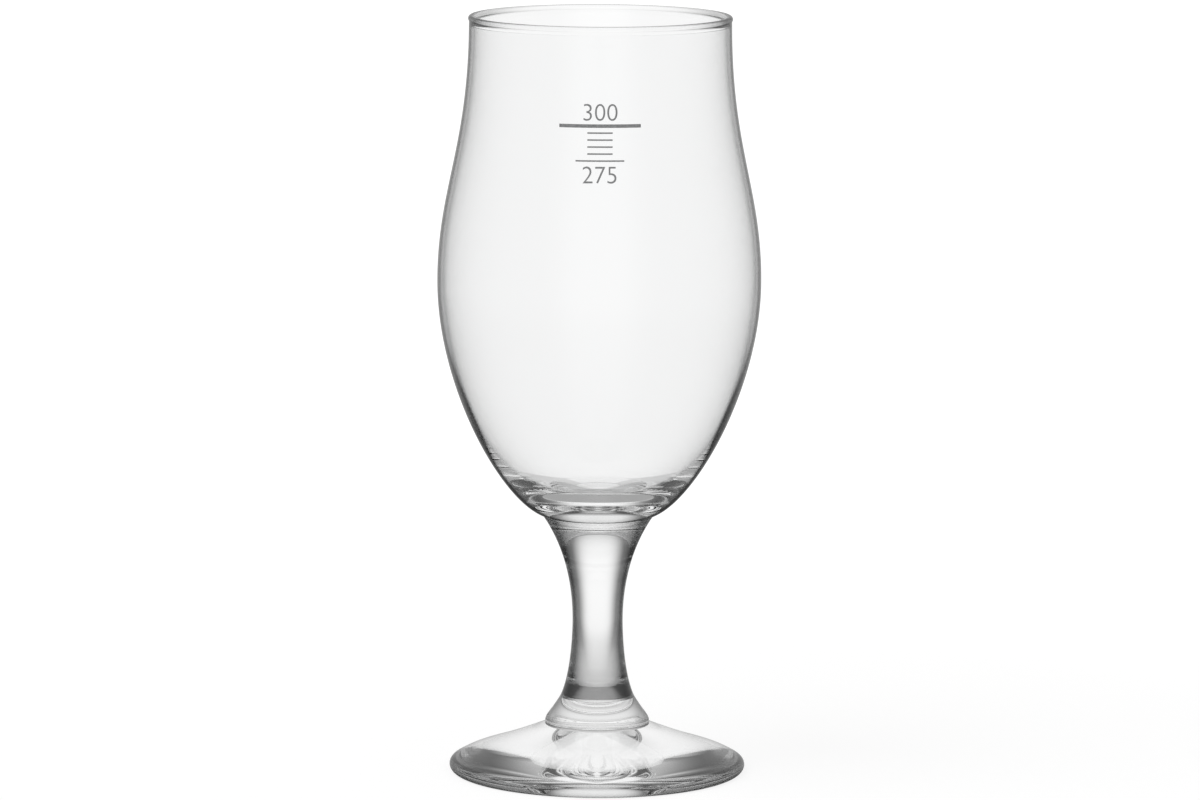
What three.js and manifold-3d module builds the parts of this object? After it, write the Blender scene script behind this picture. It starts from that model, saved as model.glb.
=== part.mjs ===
// A stemmed beer glass with a tulip bowl: a blown bowl, a drawn stem and a pressed foot, fused at two weld
// rings, and the enamel fill line on the front of the bowl.
// Millimetres, +Z up. The glass stands on Z = 0 about the Z axis, and the fill line faces -Y.

import * as THREE from "three";
import { mergeVertices } from "three/addons/utils/BufferGeometryUtils.js";
import Module from "manifold-3d";

// Bowl
const GLASS_HEIGHT = 179.3;
const RIM_DIAMETER = 61.5;
const RIM_WALL = 1.1;
const RIM_BEAD_SWELL = 0.2; // how far the fire-polished bead stands proud of each side of the wall
const BELLY_DIAMETER = 76.1;
const BELLY_HEIGHT = 116.8;
const BELLY_WALL = 1.2;
const FLOOR_THICKNESS = 4.2; // in the middle, above the weld
const FLOOR_DIAMETER = 21.2; // of the floor inside, up to the edge where the wall rises
const FLOOR_DISH = 0.2; // how far the floor's middle lies below its edge
const FLOOR_EASE_AT_EDGE = 0.33; // shares of the floor's radius
const FLOOR_EASE_AT_MIDDLE = 0.5;
const BOWL_BASE_RISE_DEG = 18; // how steeply the underside leaves the weld ring
const INSIDE_RISE_DEG = 7; // how steeply the inside leaves the floor

// How far each end of a curve runs straight before it bends, as a share of the curve's height
const NECK_EASE_AT_RIM = 0.49;
const NECK_EASE_AT_BELLY = 0.36;
const BASE_EASE_AT_BELLY = 0.459;
const BASE_EASE_AT_WELD = 0.177;
const INSIDE_EASE_AT_FLOOR = 0.339;
const INSIDE_EASE_AT_BELLY = 0.318;

// Stem
const UPPER_WELD_HEIGHT = 61.2; // the plane where the bowl and the stem are fused
const SHOULDER_DIAMETER = 26.3;
const SHOULDER_FLARE_DEG = 55.3; // below level, where the stem leaves its shoulder
const WAIST_DIAMETER = 11.85;
const WAIST_HEIGHT = 35.9;
const LOWER_WELD_HEIGHT = 17.7; // the plane where the stem and the foot are fused
const LOWER_WELD_DIAMETER = 17.5;
const STEM_END_FLARE_DEG = 65;
const STEM_EASE_AT_SHOULDER = 0.33;
const STEM_EASE_ABOVE_WAIST = 0.385;
const STEM_EASE_BELOW_WAIST = 0.11;
const STEM_EASE_AT_END = 0.34;

// Foot
const FOOT_DIAMETER = 70;
const FOOT_EDGE_RADIUS = 1.4;
const FOOT_TOP_SLOPE_DEG = 23; // beside the collar
const FOOT_EDGE_SLOPE_DEG = 30; // where the top turns into the rounded edge
const FOOT_TOP_EASE_AT_COLLAR = 0.8; // shares of the top's width
const FOOT_TOP_EASE_AT_EDGE = 0.27;
const COLLAR_DIAMETER = 24.7;
const COLLAR_BASE_HEIGHT = 11.2;
const COLLAR_FLARE_DEG = 59;
const COLLAR_EASE_AT_WELD = 0.88;
const COLLAR_EASE_AT_EDGE = 0.33;
const STAND_RING_WIDTH = 3; // the flat ring that the glass stands on
const HOLLOW_DEPTH = 8.9; // the middle of the underside, above the ring
const HOLLOW_EASE_AT_MIDDLE = 1; // how far each end of the hollow runs level before it bends
const HOLLOW_EASE_AT_RING = 11.8;

// Fill line
const FILL_LINE_HEIGHT = 156.7; // of its middle, above the table
const FILL_LINE_LENGTH = 18.9;
const FILL_LINE_WIDTH = 0.8;
const FILL_LINE_RELIEF = 0.15;
const FILL_LINE_SEAT = 0.02; // clearance between the enamel and the glass

// Facets
const FACETS_AROUND = 64;
const CURVE_STEPS = 9;
const BEAD_STEPS = 6;
const EDGE_STEPS = 6;
const COLLAR_STEPS = 5;
const FLOOR_STEPS = 3;
const HOLLOW_STEPS = 8;
const SAME_POINT = 1e-6; // points nearer than this are one

const GLASS_COLOUR = 0xe3e8e8;
const GLASS_ROUGHNESS = 0.04;
const GLASS_OPACITY = 0.35;
const ENAMEL_COLOUR = 0x85888a;
const ENAMEL_ROUGHNESS = 0.55;

const { degToRad, radToDeg, lerp } = THREE.MathUtils;

// A point of a turned profile: its distance from the axis and its height.
const at = (radius, height) => new THREE.Vector2(radius, height);

// The point that lies some way from another in a direction given in degrees above level, outward at 0.
function toward(point, degrees, distance) {
  const angle = degToRad(degrees);
  return at(point.x + distance * Math.cos(angle), point.y + distance * Math.sin(angle));
}

// A smooth span between two points, drawn toward the two handles.
const span = (from, handle, otherHandle, to) => new THREE.CubicBezierCurve(from, handle, otherHandle, to);

// The points of a circle's arc, from one angle to another.
function arc(centre, radius, fromDegrees, toDegrees, steps) {
  const points = [];
  for (let i = 0; i <= steps; i += 1) {
    points.push(toward(centre, lerp(fromDegrees, toDegrees, i / steps), radius));
  }
  return points;
}

// The points of a span moved inward, square to it, by a wall that grows or shrinks along it.
function inside(curve, wallAt, steps) {
  const points = [];
  for (let i = 0; i <= steps; i += 1) {
    const along = i / steps;
    const ahead = curve.getTangent(along);
    const inward = at(-ahead.y, ahead.x);
    points.push(curve.getPoint(along).addScaledVector(inward, wallAt(along)));
  }
  return points;
}

// Turns a profile about the Z axis, leaving out points that fall on each other.
function turned(profile) {
  const points = profile.filter((point, i) => i === 0 || point.distanceTo(profile[i - 1]) > SAME_POINT);
  return new THREE.LatheGeometry(points, FACETS_AROUND).rotateX(Math.PI / 2);
}

// The bowl's outside: the rounded base from the weld ring up to the belly, then the neck up to the bead.
const rimBeadRadius = RIM_WALL / 2 + RIM_BEAD_SWELL;
const rimBeadCentre = at((RIM_DIAMETER - RIM_WALL) / 2, GLASS_HEIGHT - rimBeadRadius);
const beadMeetsWallDeg = radToDeg(Math.acos(RIM_WALL / 2 / rimBeadRadius));
const bowlTop = toward(rimBeadCentre, -beadMeetsWallDeg, rimBeadRadius);
const belly = at(BELLY_DIAMETER / 2, BELLY_HEIGHT);
const upperWeld = at(SHOULDER_DIAMETER / 2, UPPER_WELD_HEIGHT);
const neckHeight = bowlTop.y - belly.y;
const baseHeight = belly.y - upperWeld.y;

const bowlBase = span(
  upperWeld,
  toward(upperWeld, BOWL_BASE_RISE_DEG, BASE_EASE_AT_WELD * baseHeight),
  at(belly.x, belly.y - BASE_EASE_AT_BELLY * baseHeight),
  belly,
);
const bowlNeck = span(
  belly,
  at(belly.x, belly.y + NECK_EASE_AT_BELLY * neckHeight),
  at(bowlTop.x, bowlTop.y - NECK_EASE_AT_RIM * neckHeight),
  bowlTop,
);
const bowlOutside = [...bowlBase.getPoints(CURVE_STEPS), ...bowlNeck.getPoints(CURVE_STEPS)];

function bowlGeometry() {
  // The wall thins evenly up the neck. In the base the inside has its own curve, which leaves more and
  // more glass toward the floor.
  const neckWall = (along) => lerp(BELLY_WALL, RIM_WALL, along);
  const neckInside = inside(bowlNeck, neckWall, CURVE_STEPS);
  const floor = at(0, UPPER_WELD_HEIGHT + FLOOR_THICKNESS);
  const floorEdge = at(FLOOR_DIAMETER / 2, floor.y + FLOOR_DISH);
  const bellyInside = neckInside[0];
  const insideHeight = bellyInside.y - floorEdge.y;
  const baseInside = span(
    floorEdge,
    toward(floorEdge, INSIDE_RISE_DEG, INSIDE_EASE_AT_FLOOR * insideHeight),
    at(bellyInside.x, bellyInside.y - INSIDE_EASE_AT_BELLY * insideHeight),
    bellyInside,
  );
  const floorCurve = span(
    floorEdge,
    at((1 - FLOOR_EASE_AT_EDGE) * floorEdge.x, floor.y),
    at(FLOOR_EASE_AT_MIDDLE * floorEdge.x, floor.y),
    floor,
  );
  const bead = arc(rimBeadCentre, rimBeadRadius, -beadMeetsWallDeg, 180 + beadMeetsWallDeg, BEAD_STEPS);
  // The neck's inner side ends at the bead's own last point.
  neckInside.pop();
  return turned([
    at(0, UPPER_WELD_HEIGHT),
    ...bowlOutside,
    ...bead,
    ...neckInside.reverse(),
    ...baseInside.getPoints(CURVE_STEPS).reverse(),
    ...floorCurve.getPoints(FLOOR_STEPS),
  ]);
}

function stemGeometry() {
  const lowerWeld = at(LOWER_WELD_DIAMETER / 2, LOWER_WELD_HEIGHT);
  const waist = at(WAIST_DIAMETER / 2, WAIST_HEIGHT);
  const lowerHeight = waist.y - lowerWeld.y;
  const upperHeight = upperWeld.y - waist.y;
  const lowerHalf = span(
    lowerWeld,
    toward(lowerWeld, 180 - STEM_END_FLARE_DEG, STEM_EASE_AT_END * lowerHeight),
    at(waist.x, waist.y - STEM_EASE_BELOW_WAIST * lowerHeight),
    waist,
  );
  const upperHalf = span(
    waist,
    at(waist.x, waist.y + STEM_EASE_ABOVE_WAIST * upperHeight),
    toward(upperWeld, SHOULDER_FLARE_DEG, -STEM_EASE_AT_SHOULDER * upperHeight),
    upperWeld,
  );
  return turned([
    at(0, LOWER_WELD_HEIGHT),
    ...lowerHalf.getPoints(CURVE_STEPS),
    ...upperHalf.getPoints(CURVE_STEPS),
    at(0, UPPER_WELD_HEIGHT),
  ]);
}

function footGeometry() {
  const edgeCentre = at(FOOT_DIAMETER / 2 - FOOT_EDGE_RADIUS, FOOT_EDGE_RADIUS);
  const ringInner = at(edgeCentre.x - STAND_RING_WIDTH, 0);
  const edge = arc(edgeCentre, FOOT_EDGE_RADIUS, -90, 90 - FOOT_EDGE_SLOPE_DEG, EDGE_STEPS);
  const topOuter = edge[edge.length - 1];
  const collarBase = at(COLLAR_DIAMETER / 2, COLLAR_BASE_HEIGHT);
  const lowerWeld = at(LOWER_WELD_DIAMETER / 2, LOWER_WELD_HEIGHT);
  const topWidth = topOuter.x - collarBase.x;
  const collarHeight = lowerWeld.y - collarBase.y;

  // The underside leaves the ring level and rises ever more steeply to a blunt point under the stem.
  const hollow = span(
    at(0, HOLLOW_DEPTH),
    at(HOLLOW_EASE_AT_MIDDLE, HOLLOW_DEPTH),
    at(ringInner.x - HOLLOW_EASE_AT_RING, 0),
    ringInner,
  );
  const top = span(
    topOuter,
    toward(topOuter, 180 - FOOT_EDGE_SLOPE_DEG, FOOT_TOP_EASE_AT_EDGE * topWidth),
    toward(collarBase, -FOOT_TOP_SLOPE_DEG, FOOT_TOP_EASE_AT_COLLAR * topWidth),
    collarBase,
  );
  const collar = span(
    collarBase,
    at(collarBase.x, collarBase.y + COLLAR_EASE_AT_EDGE * collarHeight),
    toward(lowerWeld, -COLLAR_FLARE_DEG, COLLAR_EASE_AT_WELD * collarHeight),
    lowerWeld,
  );
  return turned([
    ...hollow.getPoints(HOLLOW_STEPS),
    ...edge,
    ...top.getPoints(CURVE_STEPS),
    ...collar.getPoints(COLLAR_STEPS),
    at(0, LOWER_WELD_HEIGHT),
  ]);
}

// The radius of the bowl's outside at a height.
function bowlRadiusAt(height) {
  const above = bowlOutside.findIndex((point) => point.y >= height);
  const low = bowlOutside[above - 1];
  const high = bowlOutside[above];
  return lerp(low.x, high.x, (height - low.y) / (high.y - low.y));
}

const wasm = await Module();
wasm.setup();

function solidOf(geometry) {
  const bare = geometry.clone();
  bare.deleteAttribute("normal");
  bare.deleteAttribute("uv");
  const merged = mergeVertices(bare);
  const mesh = new wasm.Mesh({
    numProp: 3,
    vertProperties: merged.attributes.position.array,
    triVerts: Uint32Array.from(merged.index.array),
  });
  return new wasm.Manifold(mesh);
}

function geometryOf(solid) {
  const mesh = solid.getMesh();
  const geometry = new THREE.BufferGeometry();
  geometry.setAttribute("position", new THREE.BufferAttribute(mesh.vertProperties, 3));
  geometry.setIndex(new THREE.BufferAttribute(mesh.triVerts, 1));
  geometry.computeVertexNormals();
  return geometry;
}

function fillLineGeometry() {
  // A band right round the bowl, parallel to its wall, of which the line is the stretch at the front.
  const lowHeight = FILL_LINE_HEIGHT - FILL_LINE_WIDTH / 2;
  const highHeight = FILL_LINE_HEIGHT + FILL_LINE_WIDTH / 2;
  const lowRadius = bowlRadiusAt(lowHeight) + FILL_LINE_SEAT;
  const highRadius = bowlRadiusAt(highHeight) + FILL_LINE_SEAT;
  const band = turned([
    at(lowRadius, lowHeight),
    at(lowRadius + FILL_LINE_RELIEF, lowHeight),
    at(highRadius + FILL_LINE_RELIEF, highHeight),
    at(highRadius, highHeight),
    at(lowRadius, lowHeight),
  ]);
  const stretch = new THREE.BoxGeometry(FILL_LINE_LENGTH, BELLY_DIAMETER, GLASS_HEIGHT);
  stretch.translate(0, -BELLY_DIAMETER / 2, GLASS_HEIGHT / 2);
  return geometryOf(solidOf(band).intersect(solidOf(stretch)));
}

function clearGlass() {
  return new THREE.MeshStandardMaterial({
    color: GLASS_COLOUR,
    roughness: GLASS_ROUGHNESS,
    metalness: 0,
    transparent: true,
    opacity: GLASS_OPACITY,
  });
}

function greyEnamel() {
  return new THREE.MeshStandardMaterial({
    color: ENAMEL_COLOUR,
    roughness: ENAMEL_ROUGHNESS,
    metalness: 0,
  });
}

function named(name, geometry, material) {
  const mesh = new THREE.Mesh(geometry, material);
  mesh.name = name;
  return mesh;
}

const beerGlass = new THREE.Group();
beerGlass.add(named("bowl", bowlGeometry(), clearGlass()));
beerGlass.add(named("stem", stemGeometry(), clearGlass()));
beerGlass.add(named("foot", footGeometry(), clearGlass()));
beerGlass.add(named("fill_line", fillLineGeometry(), greyEnamel()));

export default beerGlass;
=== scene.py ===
"""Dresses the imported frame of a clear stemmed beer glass.

The glass is three hot-worked bodies, a tulip bowl, a drawn stem and a pressed foot, fused at two
weld rings. A fired enamel fill line with a short scale marks the front of the bowl. Lengths are in
metres, +Z is up and the front of the glass faces -Y.
"""

import math

import bmesh
import bpy
from mathutils import Matrix, Vector


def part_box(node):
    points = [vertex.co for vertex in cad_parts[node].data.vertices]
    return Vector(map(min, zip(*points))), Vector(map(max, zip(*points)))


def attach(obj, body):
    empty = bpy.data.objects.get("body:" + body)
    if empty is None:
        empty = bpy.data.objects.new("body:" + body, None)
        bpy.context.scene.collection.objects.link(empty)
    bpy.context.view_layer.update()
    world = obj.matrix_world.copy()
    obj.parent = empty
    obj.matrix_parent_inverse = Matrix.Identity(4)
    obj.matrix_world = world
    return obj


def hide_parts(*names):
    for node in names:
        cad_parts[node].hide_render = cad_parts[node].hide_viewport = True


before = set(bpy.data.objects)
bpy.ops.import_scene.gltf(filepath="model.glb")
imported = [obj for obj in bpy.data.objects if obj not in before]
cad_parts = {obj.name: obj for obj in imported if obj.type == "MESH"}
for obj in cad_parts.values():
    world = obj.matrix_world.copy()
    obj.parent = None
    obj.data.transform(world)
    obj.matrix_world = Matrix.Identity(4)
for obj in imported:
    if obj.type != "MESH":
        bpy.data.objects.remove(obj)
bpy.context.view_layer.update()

bl_info = {
    "name": "Stemmed Beer Glass",
    "version": (1, 0, 0),
    "blender": (4, 5, 0),
    "location": "View3D > Sidebar > Beer Glass",
    "description": "Builds a clear stemmed beer glass with a fired fill line",
    "category": "Add Mesh",
}

BOWL_LOW, BOWL_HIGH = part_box("bowl")
STEM_LOW, STEM_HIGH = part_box("stem")
FOOT_LOW, FOOT_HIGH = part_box("foot")
LINE_LOW, LINE_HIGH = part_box("fill_line")

BODY = "root"


# Sizes and colours


def length(name, description, default):
    """A size in metres."""
    return bpy.props.FloatProperty(
        name=name, description=description, default=default,
        unit="LENGTH", subtype="DISTANCE", precision=5,
    )


def angle(name, description, degrees):
    """An angle, written in degrees and kept in radians."""
    return bpy.props.FloatProperty(
        name=name, description=description, default=math.radians(degrees),
        unit="ROTATION", subtype="ANGLE",
    )


def share(name, description, default):
    """A number without a unit."""
    return bpy.props.FloatProperty(name=name, description=description, default=default, precision=4)


def count(name, description, default):
    """A whole number of steps or copies."""
    return bpy.props.IntProperty(name=name, description=description, default=default, min=1)


def colour(name, description, default):
    """A linear colour."""
    return bpy.props.FloatVectorProperty(
        name=name, description=description, default=default,
        subtype="COLOR", size=3, min=0.0, max=1.0,
    )


class BeerGlassBowl(bpy.types.PropertyGroup):
    """Sizes of the tulip bowl."""

    height: length("Top", "Height of the rim above the table", BOWL_HIGH.z)
    weld_height: length("Weld height", "Height of the ring where the stem is fused on", BOWL_LOW.z)
    weld_diameter: length("Weld diameter", "Across that ring", STEM_HIGH.x - STEM_LOW.x)
    rim_diameter: length("Rim diameter", "Across the outside of the wall at the rim", 0.0615)
    rim_wall: length("Rim wall", "Thickness of the wall under the rim", 0.0011)
    bead_swell: length("Bead swell", "How far the bead of the rim stands proud of the wall", 0.0002)
    belly_diameter: length("Belly diameter", "Across the widest part", BOWL_HIGH.x - BOWL_LOW.x)
    belly_height: length("Belly height", "Height of the widest part", 0.1168)
    belly_wall: length("Belly wall", "Thickness of the wall at the belly", 0.0012)
    floor_thickness: length("Floor", "Glass between the inside floor and the weld", 0.0042)
    floor_diameter: length("Floor diameter", "Across the floor, up to where the wall rises", 0.0212)
    floor_dish: length("Floor dish", "How far the middle of the floor lies below its edge", 0.0002)
    floor_ease_edge: share("Floor ease at the edge", "Share of the floor's radius", 0.33)
    floor_ease_middle: share("Floor ease in the middle", "Share of the floor's radius", 0.5)
    base_rise: angle("Base rise", "Slope of the outside where it leaves the weld", 18)
    base_ease_weld: share("Base ease at the weld", "Share of the base's height", 0.177)
    base_ease_belly: share("Base ease at the belly", "Share of the base's height", 0.459)
    inside_rise: angle("Inside rise", "Slope of the inside where it leaves the floor", 7)
    inside_ease_floor: share("Inside ease at the floor", "Share of the inside's height", 0.339)
    inside_ease_belly: share("Inside ease at the belly", "Share of the inside's height", 0.318)
    neck_ease_belly: share("Neck ease at the belly", "Share of the neck's height", 0.36)
    neck_ease_rim: share("Neck ease at the rim", "Share of the neck's height", 0.49)
    facets: count("Facets", "Facets around the bowl", 256)
    steps: count("Steps", "Rings along each curve of the bowl", 72)


class BeerGlassStem(bpy.types.PropertyGroup):
    """Sizes of the drawn stem."""

    shoulder_flare: angle("Shoulder flare", "Slope of the stem where it leaves the bowl", 55.3)
    waist_diameter: length("Waist diameter", "Across the thinnest part", 0.01185)
    waist_height: length("Waist height", "Height of the thinnest part", 0.0359)
    end_diameter: length("End diameter", "Across the ring where the foot is fused on", 0.0175)
    end_flare: angle("End flare", "Slope of the stem above the foot", 65)
    ease_shoulder: share("Ease at the shoulder", "Share of the upper part's height", 0.33)
    ease_above: share("Ease above the waist", "Share of the upper part's height", 0.385)
    ease_below: share("Ease below the waist", "Share of the lower part's height", 0.11)
    ease_end: share("Ease at the end", "Share of the lower part's height", 0.34)
    facets: count("Facets", "Facets around the stem", 160)
    steps: count("Steps", "Rings along each curve of the stem", 56)


class BeerGlassFoot(bpy.types.PropertyGroup):
    """Sizes of the pressed foot."""

    diameter: length("Diameter", "Across the foot", FOOT_HIGH.x - FOOT_LOW.x)
    weld_height: length("Weld height", "Height of the ring where the stem is fused on", FOOT_HIGH.z)
    edge_radius: length("Edge radius", "Round of the outer edge", 0.0014)
    edge_slope: angle("Edge slope", "Slope of the top where it meets the edge", 30)
    top_slope: angle("Top slope", "Slope of the top where it leaves the collar", 23)
    top_ease_collar: share("Top ease at the collar", "Share of the top's width", 0.8)
    top_ease_edge: share("Top ease at the edge", "Share of the top's width", 0.27)
    collar_diameter: length("Collar diameter", "Across the foot of the collar", 0.0247)
    collar_base: length("Collar base", "Height of the foot of the collar", 0.0112)
    collar_flare: angle("Collar flare", "Slope of the collar under the weld", 59)
    collar_ease_weld: share("Collar ease at the weld", "Share of the collar's height", 0.88)
    collar_ease_base: share("Collar ease at the base", "Share of the collar's height", 0.33)
    ring_width: length("Ring width", "Width of the flat ring that the glass stands on", 0.003)
    hollow_depth: length("Hollow depth", "Depth of the hollow under the foot", 0.0089)
    hollow_ease_middle: length("Hollow ease in the middle", "Level run at the top", 0.001)
    hollow_ease_ring: length("Hollow ease at the ring", "Level run inside the ring", 0.0118)
    facets: count("Facets", "Facets around the foot", 224)
    steps: count("Steps", "Rings along each curve of the foot", 48)


class BeerGlassMarks(bpy.types.PropertyGroup):
    """Sizes of the fired marks on the front of the bowl."""

    line_height: length(
        "Line height", "Height of the middle of the fill line", (LINE_LOW.z + LINE_HIGH.z) / 2
    )
    line_length: length("Line length", "Length of the fill line", LINE_HIGH.x - LINE_LOW.x)
    line_width: length("Line width", "Width of the fill line", 0.0008)
    relief: length("Relief", "How far the enamel stands proud of the glass", 0.00009)
    seat: length("Seat", "Clearance between the glass and the enamel", 0.00002)
    number_height: length("Number height", "Height of a digit", 0.0041)
    number_gap: length("Number gap", "Clear height between a number and its line", 0.0008)
    number_thinning: length("Number thinning", "How much finer the strokes are made", 0.00006)
    tick_length: length("Tick length", "Length of the short lines of the scale", 0.0058)
    tick_width: length("Tick width", "Width of the lines of the scale", 0.00034)
    tick_pitch: length("Tick pitch", "Height between two lines of the scale, 5 ml apart", 0.00158)
    tick_count: count("Ticks", "Lines of the scale below the fill line", 5)
    last_tick_length: length("Last tick length", "Length of the lowest line of the scale", 0.0112)


class BeerGlassLook(bpy.types.PropertyGroup):
    """Colours of the glass, the painted shade at its edges, the enamel and the stage."""

    glass: colour("Glass", "Glass seen straight on", (0.996, 0.998, 0.998))
    # The edge colours below are painted shade: at grazing angles the glass colour is darkened
    # towards them, in place of dark surroundings seen through the edges.
    bowl_edge: colour("Bowl edge", "Bowl seen at a grazing angle", (0.005, 0.0052, 0.0052))
    lining_edge: colour("Inside edge", "Inside of the bowl there", (0.45, 0.453, 0.453))
    stem_edge: colour("Stem edge", "Stem seen at a grazing angle", (0.03, 0.031, 0.031))
    foot_edge: colour("Foot edge", "Edge of the foot at a grazing angle", (0.08, 0.082, 0.082))
    enamel: colour("Enamel", "Fired enamel of the marks", (0.2, 0.203, 0.206))
    enamel_worn: colour("Worn enamel", "Enamel where it has fired thin", (0.3, 0.303, 0.306))
    floor: colour("Floor", "Floor and background", (1.0, 1.0, 1.0))


GROUPS = {
    "beer_glass_bowl": BeerGlassBowl,
    "beer_glass_stem": BeerGlassStem,
    "beer_glass_foot": BeerGlassFoot,
    "beer_glass_marks": BeerGlassMarks,
    "beer_glass_look": BeerGlassLook,
}


# Outlines, as points of radius and height

BEAD_STEPS = 16
FLOOR_STEPS = 32
EDGE_STEPS = 20


def toward(point, direction, distance):
    """The point at a distance from point, in a direction in radians above the outward axis."""
    return (point[0] + distance * math.cos(direction), point[1] + distance * math.sin(direction))


def mix(start, end, part):
    """The number at a share of the way from start to end."""
    return start + (end - start) * part


def bezier_at(points, t):
    """The point at t along a cubic curve."""
    weights = ((1 - t) ** 3, 3 * t * (1 - t) ** 2, 3 * t * t * (1 - t), t ** 3)
    return tuple(sum(w * p[axis] for w, p in zip(weights, points)) for axis in (0, 1))


def bezier_normal(points, t):
    """The unit normal on the right-hand side of the curve, which is outside for a rising wall."""
    weights = ((1 - t) ** 2, 2 * t * (1 - t), t * t)
    dr, dz = (
        sum(w * (b[axis] - a[axis]) for w, a, b in zip(weights, points, points[1:]))
        for axis in (0, 1)
    )
    size = math.hypot(dr, dz)
    return dz / size, -dr / size


def bezier(points, steps):
    """A cubic curve as a list of points."""
    return [bezier_at(points, step / steps) for step in range(steps + 1)]


def wall_inside(points, steps, thickness):
    """The inside of a wall, whose thickness is a function of t along its outside."""
    inside = []
    for step in range(steps + 1):
        t = step / steps
        radius, height = bezier_at(points, t)
        out, up = bezier_normal(points, t)
        inside.append((radius - out * thickness(t), height - up * thickness(t)))
    return inside


def arc(centre, radius, start, end, steps):
    """Part of a circle as a list of points."""
    return [toward(centre, mix(start, end, step / steps), radius) for step in range(steps + 1)]


def bowl_curves(bowl):
    """The outside of the bowl: its base from the weld to the belly, its neck and its bead."""
    bead_radius = bowl.rim_wall / 2 + bowl.bead_swell
    bead_centre = ((bowl.rim_diameter - bowl.rim_wall) / 2, bowl.height - bead_radius)
    bead_meets_wall = math.acos(bowl.rim_wall / 2 / bead_radius)
    top = toward(bead_centre, -bead_meets_wall, bead_radius)
    weld = (bowl.weld_diameter / 2, bowl.weld_height)
    belly = (bowl.belly_diameter / 2, bowl.belly_height)
    base_height = belly[1] - weld[1]
    neck_height = top[1] - belly[1]
    base = (
        weld,
        toward(weld, bowl.base_rise, bowl.base_ease_weld * base_height),
        (belly[0], belly[1] - bowl.base_ease_belly * base_height),
        belly,
    )
    neck = (
        belly,
        (belly[0], belly[1] + bowl.neck_ease_belly * neck_height),
        (top[0], top[1] - bowl.neck_ease_rim * neck_height),
        top,
    )
    return base, neck, (bead_centre, bead_radius, bead_meets_wall)


def bowl_outline(bowl):
    """From the middle of the weld, up the outside, over the bead and down the inside."""
    base, neck, (bead_centre, bead_radius, bead_meets_wall) = bowl_curves(bowl)
    outside = bezier(base, bowl.steps) + bezier(neck, bowl.steps)[1:]
    bead = arc(
        bead_centre, bead_radius, -bead_meets_wall, math.pi + bead_meets_wall, BEAD_STEPS
    )[1:-1]
    inside_neck = wall_inside(
        neck, bowl.steps, lambda t: mix(bowl.belly_wall, bowl.rim_wall, t)
    )
    floor_height = bowl.weld_height + bowl.floor_thickness
    edge = (bowl.floor_diameter / 2, floor_height + bowl.floor_dish)
    inside_belly = inside_neck[0]
    inside_height = inside_belly[1] - edge[1]
    inside_base = bezier(
        (
            edge,
            toward(edge, bowl.inside_rise, bowl.inside_ease_floor * inside_height),
            (inside_belly[0], inside_belly[1] - bowl.inside_ease_belly * inside_height),
            inside_belly,
        ),
        bowl.steps,
    )
    floor = bezier(
        (
            edge,
            ((1 - bowl.floor_ease_edge) * edge[0], floor_height),
            (bowl.floor_ease_middle * edge[0], floor_height),
            (0.0, floor_height),
        ),
        FLOOR_STEPS,
    )
    inside = inside_neck[::-1] + inside_base[::-1][1:] + floor[1:]
    return [(0.0, bowl.weld_height)] + outside + bead + inside


def stem_outline(stem, bowl, foot):
    """From the middle of the lower weld, up the outside, to the middle of the upper weld."""
    lower = (stem.end_diameter / 2, foot.weld_height)
    upper = (bowl.weld_diameter / 2, bowl.weld_height)
    waist = (stem.waist_diameter / 2, stem.waist_height)
    below = waist[1] - lower[1]
    above = upper[1] - waist[1]
    lower_part = (
        lower,
        toward(lower, math.pi - stem.end_flare, stem.ease_end * below),
        (waist[0], waist[1] - stem.ease_below * below),
        waist,
    )
    upper_part = (
        waist,
        (waist[0], waist[1] + stem.ease_above * above),
        toward(upper, stem.shoulder_flare, -stem.ease_shoulder * above),
        upper,
    )
    wall = bezier(lower_part, stem.steps) + bezier(upper_part, stem.steps)[1:]
    return [(0.0, lower[1])] + wall + [(0.0, upper[1])]


def foot_outline(foot, stem):
    """From the top of the hollow to the ring, round the edge, up the top and the collar."""
    ring_outer = foot.diameter / 2 - foot.edge_radius
    ring_inner = ring_outer - foot.ring_width
    hollow = bezier(
        (
            (0.0, foot.hollow_depth),
            (foot.hollow_ease_middle, foot.hollow_depth),
            (ring_inner - foot.hollow_ease_ring, 0.0),
            (ring_inner, 0.0),
        ),
        foot.steps,
    )
    edge = arc(
        (ring_outer, foot.edge_radius),
        foot.edge_radius,
        -math.pi / 2,
        math.pi / 2 - foot.edge_slope,
        EDGE_STEPS,
    )
    collar_base = (foot.collar_diameter / 2, foot.collar_base)
    top_width = edge[-1][0] - collar_base[0]
    top = bezier(
        (
            edge[-1],
            toward(edge[-1], math.pi - foot.edge_slope, foot.top_ease_edge * top_width),
            toward(collar_base, -foot.top_slope, foot.top_ease_collar * top_width),
            collar_base,
        ),
        foot.steps,
    )
    weld = (stem.end_diameter / 2, foot.weld_height)
    collar_height = weld[1] - collar_base[1]
    collar = bezier(
        (
            collar_base,
            (collar_base[0], collar_base[1] + foot.collar_ease_base * collar_height),
            toward(weld, -foot.collar_flare, foot.collar_ease_weld * collar_height),
            weld,
        ),
        foot.steps,
    )
    return hollow + edge + top[1:] + collar[1:] + [(0.0, weld[1])]


# Meshes

TOUCHING = 1e-7
OUTSIDE, WELD, INSIDE = 0, 1, 2


def face_slot(outline, step, welds, inside_from):
    """The material slot of the faces between a step of the outline and the next."""
    start, end = outline[step], outline[step + 1]
    level = abs(start[1] - end[1]) < TOUCHING
    to_axis = min(start[0], end[0]) < TOUCHING
    if level and to_axis and any(abs(start[1] - weld[1]) < TOUCHING for weld in welds):
        return WELD
    return INSIDE if inside_from is not None and step >= inside_from else OUTSIDE


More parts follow.
